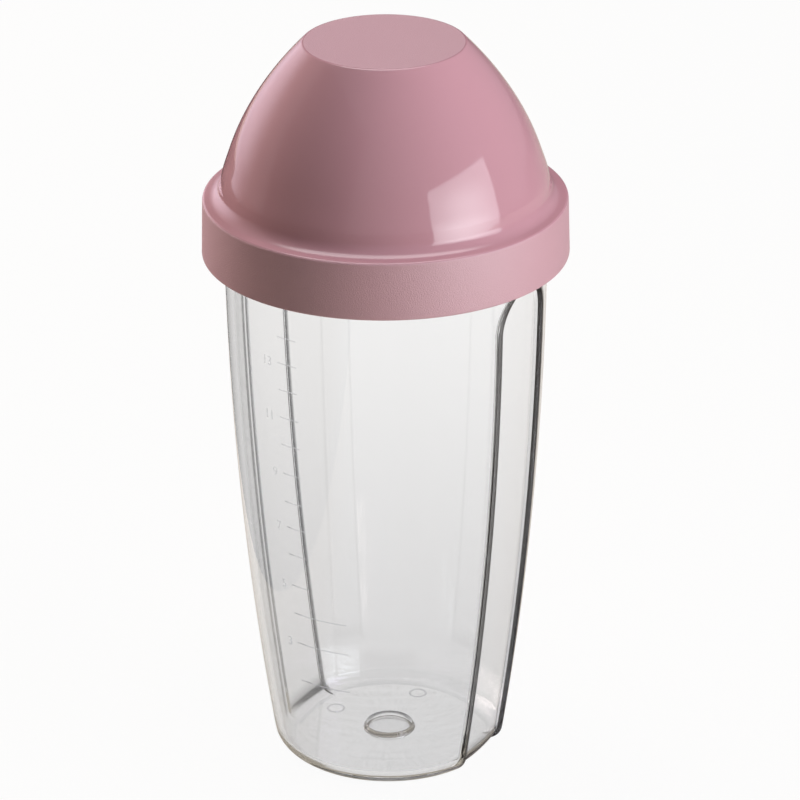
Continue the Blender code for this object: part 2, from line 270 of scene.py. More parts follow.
def with_face(across, recess, shade):
    """Recess and shade of whole rows: on the panel's face they are 1 and 0, and then come the step's."""
    recess = np.concatenate([np.ones_like(FACE), recess])
    shade = np.concatenate([np.zeros_like(FACE), shade])
    return np.broadcast_to(recess, across.shape), np.broadcast_to(shade, across.shape)


print("grid lines on a step:", len(step_values(OUTER_STEP)[0]))

# %% [markdown]
# ## Rows that follow a panel
#
# A plain grid would cross the panel's edge in little stairs. So its columns run along the panel's sides, and
# at 45 degrees round the rounded top the step turns from columns into rows. Each function gives four arrays:
# the distance across from the panel's middle line, the height, the recess and the shade.

# %% Rows of the panel
FILLET_ROWS, SIDE_ROWS, CORNER_ROWS = 12, 40, 10
CORNER_SHIFT = 0.008


def side_rows(inset, floor, step):
    """Rows beside the panel's straight sides: evenly round the foot's fillet, then evenly up the side."""
    fillet = FOOT_FILLET - inset
    turn = np.linspace(0, math.pi / 2, FILLET_ROWS, endpoint=False)
    straight = np.linspace(floor + fillet, CORNER_CENTRE, SIDE_ROWS)
    height = np.concatenate([floor + fillet * (1 - np.cos(turn)), straight])[:, None]
    offsets, recess, shade = step_values(step)
    half = PANEL_FOOT_HALF + (PANEL_TOP_HALF - PANEL_FOOT_HALF) * height / CORNER_CENTRE + step["shift"]
    across = np.concatenate([half * FACE, half + offsets], 1)
    return np.stack([across, np.broadcast_to(height, across.shape), *with_face(across, recess, shade)])


def corner_rows(step):
    """Rows up to 45 degrees round the top: spokes on the step, and arcs between them on the face."""
    corner = PANEL_TOP_HALF + step["shift"]
    share = np.arange(1, CORNER_ROWS + 1)[:, None] / CORNER_ROWS
    turn = share * math.pi / 4
    edge, edge_height = corner * np.cos(turn), CORNER_CENTRE + corner * np.sin(turn)
    across = edge * np.sin(FACE * turn) / np.sin(turn)
    height = edge_height + edge / np.sin(turn) * (np.cos(FACE * turn) - np.cos(turn))
    offsets, recess, shade = step_values(step)
    side_turn = turn - share * CORNER_SHIFT * np.arange(1, len(offsets) + 1)
    across = np.concatenate([across, (corner + offsets) * np.cos(side_turn)], 1)
    height = np.concatenate([height, CORNER_CENTRE + (corner + offsets) * np.sin(side_turn)], 1)
    return np.stack([across, height, *with_face(across, recess, shade)])


def arch_rows(step):
    """Rows of the step over the rounded top: arcs round the corner's centre, one for each offset."""
    offsets, recess, shade = step_values(step)
    column = np.arange(len(offsets))
    row = column[:, None]
    face_turn = math.pi / 2 - FACE * (math.pi / 4 - CORNER_SHIFT * (row + 1))
    turn = np.concatenate([face_turn, math.pi / 4 - CORNER_SHIFT * (column - row)], 1)
    line = np.concatenate([np.broadcast_to(row, face_turn.shape), np.maximum(column, row)], 1)
    reach = PANEL_TOP_HALF + step["shift"] + offsets[line]
    return np.stack([reach * np.cos(turn), CORNER_CENTRE + reach * np.sin(turn), recess[line], shade[line]])


print("rows and columns over the top:", arch_rows(OUTER_STEP).shape[1:])

# %% [markdown]
# ## Whole skins
#
# Only a quarter of a skin is worked out, from the middle of a panel to the middle of the round wall, and the
# other three are its mirror images. Where the panel's face runs out through the rounded edge at the foot, a
# dark band is painted as shade, with a thin painted line round the base and a faint painted shade low down.

# %% Skins of the cup
WALL_COLUMNS, UPPER_ROWS = 36, 4
# Painted shade at the foot: a dark band on the panel's face, a line round the base, and a faint shade low down
# and on the floors.
BAND_START, BAND_END = (1.5 * MM, 0.6 * MM), (3.9 * MM, 1.3 * MM)
BASE_LINE, BASE_SHADE = (0.15 * MM, 0.5 * MM), 0.3
LOW_SHADE_END, FLOOR_PAINTED_SHADE = (3.2 * MM, 2.2 * MM), 0.14


def ramp(value, start, width):
    """The S-curve of how far a value is past its start, as a share of a width."""
    return smooth((value - start) / width)


def foot_shade(height, recess):
    """Painted shade at the foot: the darkest of the panel's runout band, a line round the base, and a faint
    shade.
    """
    band = recess * ramp(height, *BAND_START) * (1 - ramp(height, *BAND_END))
    line = BASE_SHADE * (1 - ramp(height, *BASE_LINE))
    low_shade = FLOOR_PAINTED_SHADE * (1 - ramp(height, *LOW_SHADE_END))
    return np.maximum(np.maximum(band, line), low_shade)


def whole_rows(quarter):
    """Whole rows from a quarter: its mirror image in the Y axis, then both turned half round."""
    mirrored = quarter[:, :, -2::-1].copy()
    mirrored[1] = math.pi - mirrored[1]
    half = np.concatenate([quarter, mirrored], 2)
    turned = half[:, :, 1:-1].copy()
    turned[1] += math.pi
    return np.concatenate([half, turned], 2)


def cup_skin(inset, floor, top, step):
    """Radius, angle, height and shade of a skin of the cup, from the edge of its flat base up to a height.

    The angle of a point is the arc sine of its distance across over the radius there. The recess is deepest
    in the middle of the panel and falls off with the square of the share of the way to its edge.
    """
    panel_rows = [side_rows(inset, floor, step), corner_rows(step), arch_rows(step)]
    across, height, recess, shade = np.concatenate(panel_rows, 1)
    round_radius = skin_radius(height, inset, floor)
    angle = np.arcsin(across / round_radius)
    crown = np.concatenate([1 - FACE**2, np.zeros(across.shape[1] - len(FACE))])
    depth = PANEL_EDGE_DEPTH + (PANEL_MIDDLE_DEPTH - PANEL_EDGE_DEPTH) * crown
    panel = [round_radius - depth * recess, angle, height, recess, shade]
    share = np.arange(1, WALL_COLUMNS + 1) / WALL_COLUMNS
    wall_angle = angle[:, -1:] + (math.pi / 2 - angle[:, -1:]) * share
    wall_height = np.broadcast_to(height[:, -1:], wall_angle.shape)
    plain = np.zeros_like(wall_angle)
    wall = [skin_radius(wall_height, inset, floor), wall_angle, wall_height, plain, plain]
    radius, angle, height, recess, shade = np.concatenate([panel, wall], 2)
    shade = np.maximum(shade, step["shade"] * foot_shade(height - floor, recess))
    climb = np.arange(1, UPPER_ROWS + 1)[:, None] / UPPER_ROWS
    upper = height[-1] + (top - height[-1]) * climb
    upper_angle = np.broadcast_to(angle[-1], upper.shape)
    above = [skin_radius(upper, inset, floor), upper_angle, upper, np.zeros_like(upper)]
    return whole_rows(np.concatenate([[radius, angle, height, shade], above], 1))


SHOULDER = 136.0 * MM
LEDGE_TOP = 139.0 * MM
outer_skin = cup_skin(0, 0, SHOULDER - 0.4 * MM, OUTER_STEP)
inner_skin = cup_skin(CUP_WALL, CUP_FLOOR, LEDGE_TOP - 0.4 * MM, INNER_STEP)
print("rows and columns of each skin:", outer_skin.shape[1:])

# %% [markdown]
# ## Neck and floor
#
# Above the outer skin comes the stepped neck with its ribs, and a ledge inside it carries the strainer. The
# boss in the floor is where the plastic was let into the mould. All of these are turned shapes, but their
# columns have to meet the skins', so they stand at the skins' own angles.

# %% Neck and floor
NECK_STEP = 1.2 * MM
NECK_RADIUS = MOUTH_RADIUS + NECK_STEP
NECK_BORE = NECK_RADIUS - CUP_WALL
NECK_RIBS = (138.8 * MM, 143.4 * MM)
NECK_RIB_HEIGHT = 1.6 * MM
BOSS_RADIUS = 6.2 * MM
BOSS_RISE = 1.2 * MM
# Painted shade on the boss's edge is darkest on one side, round this angle.
BOSS_REAR = math.radians(120)
BOSS_EDGE, BOSS_SHADES = (0.6 * MM, 0.7 * MM), (0.2, 0.8)
POLE_RADIUS = 0.5 * MM
HAIR = 0.01 * MM
NECK_ROWS = 48
FLAT_SHARES = np.array([0.08, 0.3, 0.55, 0.8, 0.95, 0.99])[:, None]


def round_rows(profile, angle):
    """Rows of a turned part of the cup: each point of its profile at all angles, without shade."""
    return np.stack(np.broadcast_arrays(profile[:, :1], angle, profile[:, 1:], 0.0))


def flat_rows(skin, hole):
    """Rows of a flat floor, by shares of the way from its round hole out to the first row of a skin."""
    radius, angle, height, _ = skin[:, :1]
    # Every point of a floor gets the faint painted shade.
    return np.stack(np.broadcast_arrays(hole + (radius - hole) * FLAT_SHARES, angle, height, FLOOR_PAINTED_SHADE))


def neck_rows(angle):
    """The shoulder, the neck and the ledge, with the ribs' rise added to the radius of the straight band."""
    bore = MOUTH_RADIUS - CUP_WALL
    corners = [
        (MOUTH_RADIUS, SHOULDER - 0.3 * MM, 0),
        (MOUTH_RADIUS, SHOULDER, 0.2 * MM),
        (NECK_RADIUS, SHOULDER + NECK_STEP, 0.3 * MM),
        (NECK_RADIUS, CUP_HEIGHT, 0.7 * MM),
        (NECK_BORE, CUP_HEIGHT, 0.7 * MM),
        (NECK_BORE, LEDGE_TOP, 0.3 * MM),
        (bore, LEDGE_TOP, 0.3 * MM),
        (bore, LEDGE_TOP - 0.35 * MM, 0),
    ]
    neck = rounded_profile(corners)
    band = np.full((NECK_ROWS, 2), NECK_RADIUS)
    band[:, 1] = np.linspace(SHOULDER + NECK_STEP + 0.4 * MM, CUP_HEIGHT - 0.8 * MM, NECK_ROWS)
    start = np.argmax(neck[:, 0] > NECK_RADIUS - HAIR) + 1
    rows = round_rows(np.concatenate([neck[:start], band, neck[start:]]), angle)
    on_neck = np.abs(rows[0] - NECK_RADIUS) < HAIR
    rows[0] += NECK_RIB_HEIGHT * rib_rise(rows[1], rows[2], *NECK_RIBS) * on_neck
    return rows


def underside_rows(angle):
    """The round recess under the boss."""
    corners = [
        (POLE_RADIUS, BOSS_RISE, 0),
        (BOSS_RADIUS - 0.9 * MM, BOSS_RISE, 0.4 * MM),
        (BOSS_RADIUS - 0.5 * MM, 0, 0.3 * MM),
        (BOSS_RADIUS + 2 * MM, 0, 0),
    ]
    return round_rows(rounded_profile(corners), angle)


def boss_rows(angle):
    """The boss in the floor. Its edge gets painted shade all round, darkest on the side of BOSS_REAR."""
    top = CUP_FLOOR + BOSS_RISE
    corners = [
        (BOSS_RADIUS + 2 * MM, CUP_FLOOR, 0),
        (BOSS_RADIUS + 0.4 * MM, CUP_FLOOR, 0.4 * MM),
        (BOSS_RADIUS - 0.2 * MM, top, 0.3 * MM),
        (BOSS_RADIUS - 1.2 * MM, top, 0),
        (BOSS_RADIUS - 2 * MM, top, 0),
        (POLE_RADIUS, top, 0),
    ]
    rows = round_rows(rounded_profile(corners), angle)
    edge = 1 - ramp(np.abs(rows[0] - BOSS_RADIUS + 0.5 * MM), *BOSS_EDGE)
    rear = smooth(0.5 + 0.6 * np.cos(angle - BOSS_REAR))
    rows[3] = np.maximum((BOSS_SHADES[0] + BOSS_SHADES[1] * rear) * edge, FLOOR_PAINTED_SHADE)
    return rows


print(f"neck: {2 * NECK_RADIUS / MM:.1f} mm across")

# %% [markdown]
# ## The whole cup
#
# The grid runs from the middle of the underside up the outer skin, over the neck, and down the inner skin to
# the middle of the floor. A clear piece needs one closed grid: an open edge or a face inside would show.

# %% Build the cup


def build_cup():
    """The clear cup in one closed grid: underside, outer skin, neck, inner skin and floor."""
    angle = outer_skin[1, -1]
    below, boss = underside_rows(angle), boss_rows(angle)
    parts = [
        below,
        flat_rows(outer_skin, below[0, -1, 0]),
        outer_skin,
        neck_rows(angle),
        inner_skin[:, ::-1],
        flat_rows(inner_skin, boss[0, 0, 0])[:, ::-1],
        boss,
    ]
    return closed_grid("cup_shell", *np.concatenate(parts, 1))


cup = build_cup()
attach(cup, "cup")
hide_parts("cup")

# %% [markdown]
# ## The scale on the wall
#
# Fine raised marks run up one side of the cup, one to each fluid ounce, with a number at every second one. On
# the real cup they are part of the moulding. Here they are thin clear pieces of their own, a hair off the
# wall, because a line a third of a millimetre wide would need a far finer grid on the whole cup.

# %% Scale marks
MARK_HEIGHTS = {
    2: 28.5, 3: 39.6, 4: 48.2, 5: 56.3, 6: 65.1, 7: 72.7, 8: 79.8,
    9: 87.6, 10: 95.5, 11: 102.9, 12: 110.3, 13: 117.4, 14: 124.3,
}
MARK_WIDTH = 0.32 * MM
MARK_RISE = 0.12 * MM
MARK_GAP = 0.02 * MM
MARK_START, MARK_END, LONG_MARK_END = -102.2, -94.0, -78.0
FIRST_SHORT_MARK, BAR_SECTIONS = 5, 13
BAR_LIFT = np.array([0, 0, 1, 1]) * MARK_RISE


def wall_points(turn, height, rise):
    """Points on the round wall at angles and heights, lifted off it by a rise."""
    return polar(wall_radius(height) + MARK_GAP + rise, turn, height)


def mark_bar(last, height):
    """Points and faces of one closed bar along the wall, from the marks' start to an angle in degrees."""
    turn = np.radians(np.linspace(MARK_START, last, BAR_SECTIONS))[:, None]
    side = np.array([-1, 1, 0.6, -0.6]) * MARK_WIDTH / 2
    points = wall_points(turn, height + side, BAR_LIFT)
    return points.reshape(-1, 3), [face[::-1] for face in closed_faces(*points.shape[:2])]


def join_parts(parts):
    """One array of points and one list of faces from several (points, faces) pairs."""
    points, faces, count = [], [], 0
    for part_points, part_faces in parts:
        points.append(part_points)
        faces += [[number + count for number in face] for face in part_faces]
        count += len(part_points)
    return np.concatenate(points), faces


def build_scale():
    """All the marks: short ones above, and long ones near the foot, where the cup is narrower."""
    bars = []
    for ounce, height in MARK_HEIGHTS.items():
        last = LONG_MARK_END if ounce < FIRST_SHORT_MARK else MARK_END
        bars.append(mark_bar(last, height * MM))
    return add_mesh("scale_marks", *join_parts(bars))


scale_marks = build_scale()

# %% [markdown]
# ## The numbers
#
# Digits could be drawn stroke by stroke, but Blender's text gives them for nothing. Made a mesh, each number
# is wrapped round the wall: its x becomes an angle, and its y the height.

# %% Scale numbers
NUMBER_SIZE = 3.4 * MM
NUMBER_DROP = 1.5 * MM
NUMBER_PLACE = math.radians(-105.1)


def curve_mesh(curve):
    """The mesh that Blender makes of a curve or a text, which stands in the scene only for that moment."""
    carrier = bpy.data.objects.new(curve.name, curve)
    bpy.context.collection.objects.link(carrier)
    bpy.context.view_layer.update()
    mesh = bpy.data.meshes.new_from_object(carrier)
    bpy.data.objects.remove(carrier)
    return mesh


def read_points(items, field):
    """(n, 3) array of one field of all vertices or faces of a mesh."""
    values = np.zeros(len(items) * 3)
    items.foreach_get(field, values)
    return values.reshape(-1, 3)


def number_part(ounce):
    """Points and faces of a number: its angle is its place plus x over the wall's radius."""
    text = bpy.data.curves.new(f"number_{ounce}", "FONT")
    text.body = str(ounce)
    text.size = NUMBER_SIZE
    text.extrude = MARK_RISE / 2
    text.align_x = "RIGHT"
    mesh = curve_mesh(text)
    x, y, z = read_points(mesh.vertices, "co").T
    height = y + MARK_HEIGHTS[ounce] * MM - NUMBER_DROP
    points = wall_points(NUMBER_PLACE + x / wall_radius(height), height, z + MARK_RISE / 2)
    return points, [list(face.vertices) for face in mesh.polygons]


scale_numbers = add_mesh("scale_numbers", *join_parts([number_part(ounce) for ounce in range(3, 14, 2)]))

# %% [markdown]
# ## The pins' marks
#
# The pins that push a moulding out of its mould leave fine raised rings. Two of them lie on the cup's floor,
# each a bar like the scale's, bent into a ring.

# %% Pin marks
PIN_RADIUS = 2.1 * MM
PIN_SECTIONS = 40
PIN_PLACES = ((16.9 * MM, 175.1), (19.1 * MM, 96.0))


def pin_ring(reach, degrees):
    """Points and faces of a ring round a place on the floor, at a distance and an angle from the axis."""
    turn = np.linspace(0, math.tau, PIN_SECTIONS, endpoint=False)[:, None]
    radius = PIN_RADIUS + np.array([-1, 1, 0.5, -0.5]) * MARK_WIDTH
    ring = polar(radius, turn, CUP_FLOOR + MARK_GAP + BAR_LIFT) + polar(reach, math.radians(degrees), 0.0)
    return ring.reshape(-1, 3), grid_faces(PIN_SECTIONS, len(radius), loop=True)[:, ::-1].tolist()


pin_marks = add_mesh("pin_marks", *join_parts([pin_ring(*place) for place in PIN_PLACES]))
for marks in (scale_marks, scale_numbers, pin_marks):
    marks.data.shade_flat()
    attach(marks, "cup")

# %% [markdown]
# ## The lid's outline
#
# The lid is one opaque moulding, turned about the axis: a dome with a flat top, a ledge round its foot, and a
# collar over the cup's neck, with a plug skirt and a groove for the seal inside. The dome's outline is a
# rounded arch: the share of the height raised to one power, plus the share of the radius raised to another,
# always makes one. That follows the real lid within a quarter millimetre.

# %% Outline of the dome
LEDGE = 149.3 * MM
DOME_RADIUS = 40.0 * MM
DOME_HEIGHT = 39.1 * MM
DISC_RADIUS = 19.8 * MM
DOME_RISE_EXPONENT = 1.73
DOME_ROUND_EXPONENT = 1.28
DOME_FLARE = 0.45 * MM
FLARE_REACH = 7.9 * MM


def dome_radius(height, inset):
    """Radius above the ledge: share of height to one power plus share of radius to another makes one."""
    disc_share = (DISC_RADIUS / DOME_RADIUS) ** DOME_ROUND_EXPONENT
    apex = DOME_HEIGHT / (1 - disc_share) ** (1 / DOME_RISE_EXPONENT)
    fall = (height / (apex - inset)) ** DOME_RISE_EXPONENT
    return (DOME_RADIUS - inset) * (1 - fall) ** (1 / DOME_ROUND_EXPONENT)


def flare(height):
    """How much wider the outer skin is near its foot: the flare, fading with the fourth power of height."""
    return DOME_FLARE * np.exp(-((height / FLARE_REACH) ** 4))


def dome_profile(low, high, inset, rows):
    """(rows, 2) points up the dome between two heights above the ledge."""
    height = np.linspace(low, high, rows)
    radius = dome_radius(height, inset) + (0 if inset else flare(height))
    return np.stack([radius, LEDGE + height], 1)


print(f"dome radius at half its height: {dome_radius(DOME_HEIGHT / 2, 0) / MM:.1f} mm")

# %% [markdown]
# ## The whole lid
#
# The lid's profile is one line, from the middle of the ceiling down the inside, round the skirt, the groove
# and the collar, and up the outside. Turned about the axis it gives the whole moulding. Only the ribs in the
# collar aren't round, and are taken off the radius afterwards.

# %% Build the lid
COLLAR_RADIUS = 45.0 * MM
COLLAR_BORE = 43.0 * MM
COLLAR_BOTTOM = 134.7 * MM
COLLAR_DRAFT = 0.4 * MM
LEDGE_SLOPE = 0.3 * MM
GROOVE_TOP = 147.3 * MM
SKIRT_RADIUS = 38.6 * MM
SKIRT_BORE = 37.4 * MM
SKIRT_BOTTOM = 141.0 * MM
LID_WALL = 2.0 * MM
COLLAR_RIBS = (136.9 * MM, 141.5 * MM)
COLLAR_RIB_HEIGHT = 1.8 * MM
LID_COLUMNS, BORE_ROWS = 240, 66


def inside_profile():
    """The ceiling, the dome's inner skin, the plug skirt and the groove for the seal."""
    top = DOME_HEIGHT - LID_WALL
    ceiling = [
        (POLE_RADIUS, LEDGE + top, 0),
        (dome_radius(top, LID_WALL), LEDGE + top, 0.6 * MM),
        (dome_radius(top - 1.2 * MM, LID_WALL), LEDGE + top - 1.2 * MM, 0),
    ]
    skirt = [
        (SKIRT_BORE + 0.6 * MM, LEDGE - 0.2 * MM, 0),
        (SKIRT_BORE, LEDGE - 0.8 * MM, 0.3 * MM),
        (SKIRT_BORE, SKIRT_BOTTOM, 0.4 * MM),
        (SKIRT_RADIUS, SKIRT_BOTTOM, 0.4 * MM),
        (SKIRT_RADIUS, GROOVE_TOP, 0.15 * MM),
        (COLLAR_BORE, GROOVE_TOP, 0.3 * MM),
        (COLLAR_BORE, GROOVE_TOP - 1.5 * MM, 0),
    ]
    dome = dome_profile(top - 1.6 * MM, 0, inset=LID_WALL, rows=32)
    return [rounded_profile(ceiling), dome, rounded_profile(skirt)]


def outside_profile():
    """The collar's bore and side, the ledge, the dome and the flat disc on top."""
    bore = np.full((BORE_ROWS, 2), COLLAR_BORE)
    bore[:, 1] = np.linspace(GROOVE_TOP - 1.6 * MM, COLLAR_BOTTOM + 0.9 * MM, BORE_ROWS)
    collar = [
        (COLLAR_BORE, COLLAR_BOTTOM + 0.8 * MM, 0),
        (COLLAR_BORE, COLLAR_BOTTOM, 0.3 * MM),
        (COLLAR_RADIUS, COLLAR_BOTTOM, 0.5 * MM),
        (COLLAR_RADIUS - COLLAR_DRAFT, LEDGE - LEDGE_SLOPE, 0.75 * MM),
        (dome_radius(0, 0) + DOME_FLARE, LEDGE + LEDGE_SLOPE, 3.4 * MM),
        (dome_radius(5 * MM, 0) + flare(5 * MM), LEDGE + 5 * MM, 0),
    ]
    disc = [
        (dome_radius(DOME_HEIGHT - 0.9 * MM, 0), LEDGE + DOME_HEIGHT - 0.9 * MM, 0),
        (DISC_RADIUS, LEDGE + DOME_HEIGHT, 0.8 * MM),
        (DISC_RADIUS - 1.2 * MM, LEDGE + DOME_HEIGHT, 0),
        (POLE_RADIUS, LEDGE + DOME_HEIGHT, 0),
    ]
    dome = dome_profile(5.3 * MM, DOME_HEIGHT - 1 * MM, inset=0, rows=64)
    return [bore, rounded_profile(collar, steps=10), dome, rounded_profile(disc, steps=6)]


def build_lid():
    """The lid in one closed grid, with the ribs' rise taken off the radius of the collar's bore."""
    profile = np.concatenate(inside_profile() + outside_profile())
    radius, angle, height = spun(profile, LID_COLUMNS)
    on_bore = np.abs(radius - COLLAR_BORE) < HAIR
    radius = radius - COLLAR_RIB_HEIGHT * rib_rise(angle, height, *COLLAR_RIBS) * on_bore
    return closed_grid("lid_moulding", radius, angle, height)


lid = build_lid()
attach(lid, "lid")
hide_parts("lid")

# %% [markdown]
# ## The seal ring
#
# A flat ring of soft silicone lies in the lid's groove and presses on the cup's rim. A torus would have the
# wrong section, so a rectangle with rounded corners is carried once round, from the middle of its lower side.

# %% Build the seal ring
SEAL_RADII = (38.9 * MM, 42.7 * MM)
SEAL_HEIGHTS = (145.3 * MM, 147.0 * MM)
SEAL_ROUNDING = 0.45 * MM


def turned_ring(name, corners, columns, steps=5):
    """A ring: a rounded profile carried once round, with its last point joined to its first."""
    radius, angle, height = spun(rounded_profile(corners, steps), columns)
    faces = grid_faces(*radius.shape, loop=True).tolist()
    return add_mesh(name, polar(radius, angle, height).reshape(-1, 3), faces)


def build_seal():
    """The seal's section: a rectangle with rounded corners."""
    (inner, outer), (low, high) = SEAL_RADII, SEAL_HEIGHTS
    middle = (inner + outer) / 2
    corners = [(middle, low, 0), (outer, low, SEAL_ROUNDING), (outer, high, SEAL_ROUNDING)]
    corners += [(inner, high, SEAL_ROUNDING), (inner, low, SEAL_ROUNDING), (middle - 0.1 * MM, low, 0)]
    return turned_ring("seal_gasket", corners, columns=180)


seal = build_seal()
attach(seal, "seal")
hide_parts("seal_ring")

# %% [markdown]
# ## The strainer's floor
#
# The strainer is a shallow dish whose floor is cut by rings of slots, which break up lumps in the drink.
# Cutting dozens of slots out of a disc leaves a ragged mesh. So the floor is a flat curve object with holes,
# which Blender fills, thickens and rounds off by itself.

# %% Strainer floor
FLANGE_TOP = 140.7 * MM
DISH_RADIUS = 37.3 * MM
DISH_DEPTH = 3.4 * MM
PLATE = 1.4 * MM
SLOT_LENGTH, SLOT_WIDTH, SLOT_WEB = 5.0 * MM, 2.6 * MM, 3.0 * MM
SLOT_RINGS = (5.0 * MM, 12.1 * MM, 19.2 * MM, 26.3 * MM)
EDGE_ROUNDING = 0.25 * MM
DISH_COLUMNS, SLOT_END_POINTS = 144, 9
SHARP_ANGLE = math.radians(50)


def slot_outlines():
    """(slots, points, 2) outlines: a stadium along +X, moved out to its ring and turned to its place."""
    turn = np.linspace(-math.pi / 2, math.pi / 2, SLOT_END_POINTS)
    end = SLOT_WIDTH / 2
    right = np.stack([SLOT_LENGTH - end + end * np.cos(turn), end * np.sin(turn)], 1)
    left = np.stack([end - end * np.cos(turn), -end * np.sin(turn)], 1)
    stadium = np.concatenate([right, left])
    outlines = []
    for inner in SLOT_RINGS:
        count = int(math.tau * inner / (SLOT_WIDTH + SLOT_WEB))
        angle = math.tau * np.arange(count)[:, None] / count
        x, y = stadium[:, 0] + inner, stadium[:, 1]
        turned = [x * np.cos(angle) - y * np.sin(angle), x * np.sin(angle) + y * np.cos(angle)]
        outlines.append(np.stack(turned, -1))
    return np.concatenate(outlines)


def build_strainer_floor():
    """A flat curve: one round outline and a hole for each slot, thickened and with rounded edges."""
    curve = bpy.data.curves.new("strainer_floor", "CURVE")
    curve.dimensions = "2D"
    curve.fill_mode = "BOTH"
    curve.extrude = PLATE / 2 - EDGE_ROUNDING
    curve.bevel_depth = EDGE_ROUNDING
    curve.bevel_resolution = 1
    curve.offset = -EDGE_ROUNDING
    turn = np.linspace(0, math.tau, DISH_COLUMNS, endpoint=False)
    rim = polar(DISH_RADIUS - 0.2 * MM, turn, 0.0)[:, :2]
    for outline in [rim, *slot_outlines()]:
        spline = curve.splines.new("POLY")
        spline.points.add(len(outline) - 1)
        points = np.ones((len(outline), 4), np.float32)
        points[:, :2] = outline
        points[:, 2] = 0
        spline.points.foreach_set("co", points.ravel())
        spline.use_cyclic_u = True
    mesh = curve_mesh(curve)
    mesh.transform(Matrix.Translation((0, 0, FLANGE_TOP - DISH_DEPTH - PLATE / 2)))
    floor = add_object("strainer_floor", mesh)
    mesh.set_sharp_from_angle(angle=SHARP_ANGLE)
    return floor


strainer_floor = build_strainer_floor()
print("slots in the strainer:", len(slot_outlines()))

# %% [markdown]
# ## The strainer's rim
#
# The dish's wall and its flange are a turned ring that meets the floor's edge. The flange lies on the ledge
# in the cup's neck, and the lid's skirt holds it down.

# %% Strainer rim
FLANGE_RADIUS = 38.7 * MM


def build_strainer_rim():
    """The dish's wall and its flange: a closed profile carried once round."""
    low = FLANGE_TOP - DISH_DEPTH - PLATE
    inside = DISH_RADIUS - PLATE
    corners = [
        (inside, FLANGE_TOP - DISH_DEPTH, 0),
        (inside, low, 0),
        (DISH_RADIUS, low, 0.4 * MM),
        (DISH_RADIUS, FLANGE_TOP - PLATE, 0.2 * MM),
        (FLANGE_RADIUS, FLANGE_TOP - PLATE, 0.4 * MM),
        (FLANGE_RADIUS, FLANGE_TOP, 0.4 * MM),
        (inside, FLANGE_TOP, 0.4 * MM),
        (inside, FLANGE_TOP - DISH_DEPTH + 0.1 * MM, 0),
    ]
    return turned_ring("strainer_rim", corners, DISH_COLUMNS, steps=4)


strainer_rim = build_strainer_rim()
for piece in (strainer_floor, strainer_rim):
    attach(piece, "strainer")
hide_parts("strainer_insert")

# %% [markdown]
# ## Building node trees
#
# A material is a tree of nodes, and each takes plain values or links from others. One helper makes a node
# with all of that in a line. Its settings come first, because they decide which inputs it has.

# %% Node helpers


def add_node(tree, kind, inputs=None, **settings):
    """A new shader node. Each input is given a plain value, or the socket that it is linked from."""
    node = tree.nodes.new("ShaderNode" + kind)
    for name, value in settings.items():
        setattr(node, name, value)
    for name, value in (inputs or {}).items():
        if isinstance(value, bpy.types.NodeSocket):
            tree.links.new(value, node.inputs[name])
        else:
            node.inputs[name].default_value = value
    return node


def calculate(tree, operation, first, second):
    """The result of an operation on two numbers or sockets."""
    return add_node(tree, "Math", {0: first, 1: second}, operation=operation).outputs["Value"]


def mix_colours(tree, factor, first, second):
    """The first colour where the factor is 0, and the second where it is 1."""
    inputs = {"Factor": factor, "A": first, "B": second}
    return add_node(tree, "Mix", inputs, data_type="RGBA").outputs["Result"]


def new_material(name, colour, roughness, constants=None):
    """A material whose Principled shader has its colour, its roughness and other constants set."""
    material = bpy.data.materials.new(name)
    material.use_nodes = True
    shader = material.node_tree.nodes["Principled BSDF"]
    for socket, value in {"Base Color": colour, "Roughness": roughness, **(constants or {})}.items():
        shader.inputs[socket].default_value = value
    print("material:", name)
    return material


# %% [markdown]
# ## Shared grain
#
# More than one piece has a fine mould grain, so it is made once as a node group. It puts out a height for a
# bump, and a roughness that varies a little. Each material sets its own scale and strength.

# %% Grain node group
FINE_DETAIL = 3.0
BROAD_SCALE = 90.0


def build_grain():
    """Mould grain: fine noise for the height, and broad noise spread between two values for the roughness."""
    group = bpy.data.node_groups.new("mould_grain", "ShaderNodeTree")
    for label, value in (("Grain Scale", 2500.0), ("Roughness Low", 0.4), ("Roughness High", 0.5)):
        socket = group.interface.new_socket(label, in_out="INPUT", socket_type="NodeSocketFloat")
        socket.default_value = value
    for label in ("Height", "Roughness"):
        group.interface.new_socket(label, in_out="OUTPUT", socket_type="NodeSocketFloat")
    scale, low, high = list(group.nodes.new("NodeGroupInput").outputs)[:3]
    leave = group.nodes.new("NodeGroupOutput")
    place = add_node(group, "TexCoord").outputs["Object"]
    fine = add_node(group, "TexNoise", {"Vector": place, "Scale": scale, "Detail": FINE_DETAIL})
    broad = add_node(group, "TexNoise", {"Vector": place, "Scale": BROAD_SCALE})
    spread = add_node(group, "MapRange", {"Value": broad.outputs["Fac"], "To Min": low, "To Max": high})
    group.links.new(fine.outputs["Fac"], leave.inputs["Height"])
    group.links.new(spread.outputs["Result"], leave.inputs["Roughness"])
    return group


def add_grain(material, scale, roughness, strength, distance=0.05 * MM):
    """Put the grain group into a material: its height through a Bump node, and its roughness."""
    tree = material.node_tree
    shader = tree.nodes["Principled BSDF"]
    values = {"Grain Scale": scale, "Roughness Low": roughness[0], "Roughness High": roughness[1]}
    texture = add_node(tree, "Group", values, node_tree=grain).outputs
    values = {"Height": texture["Height"], "Strength": strength, "Distance": distance}
    bump = add_node(tree, "Bump", values)
    tree.links.new(bump.outputs["Normal"], shader.inputs["Normal"])
    tree.links.new(texture["Roughness"], shader.inputs["Roughness"])


grain = build_grain()
print("grain group:", len(grain.nodes), "nodes")

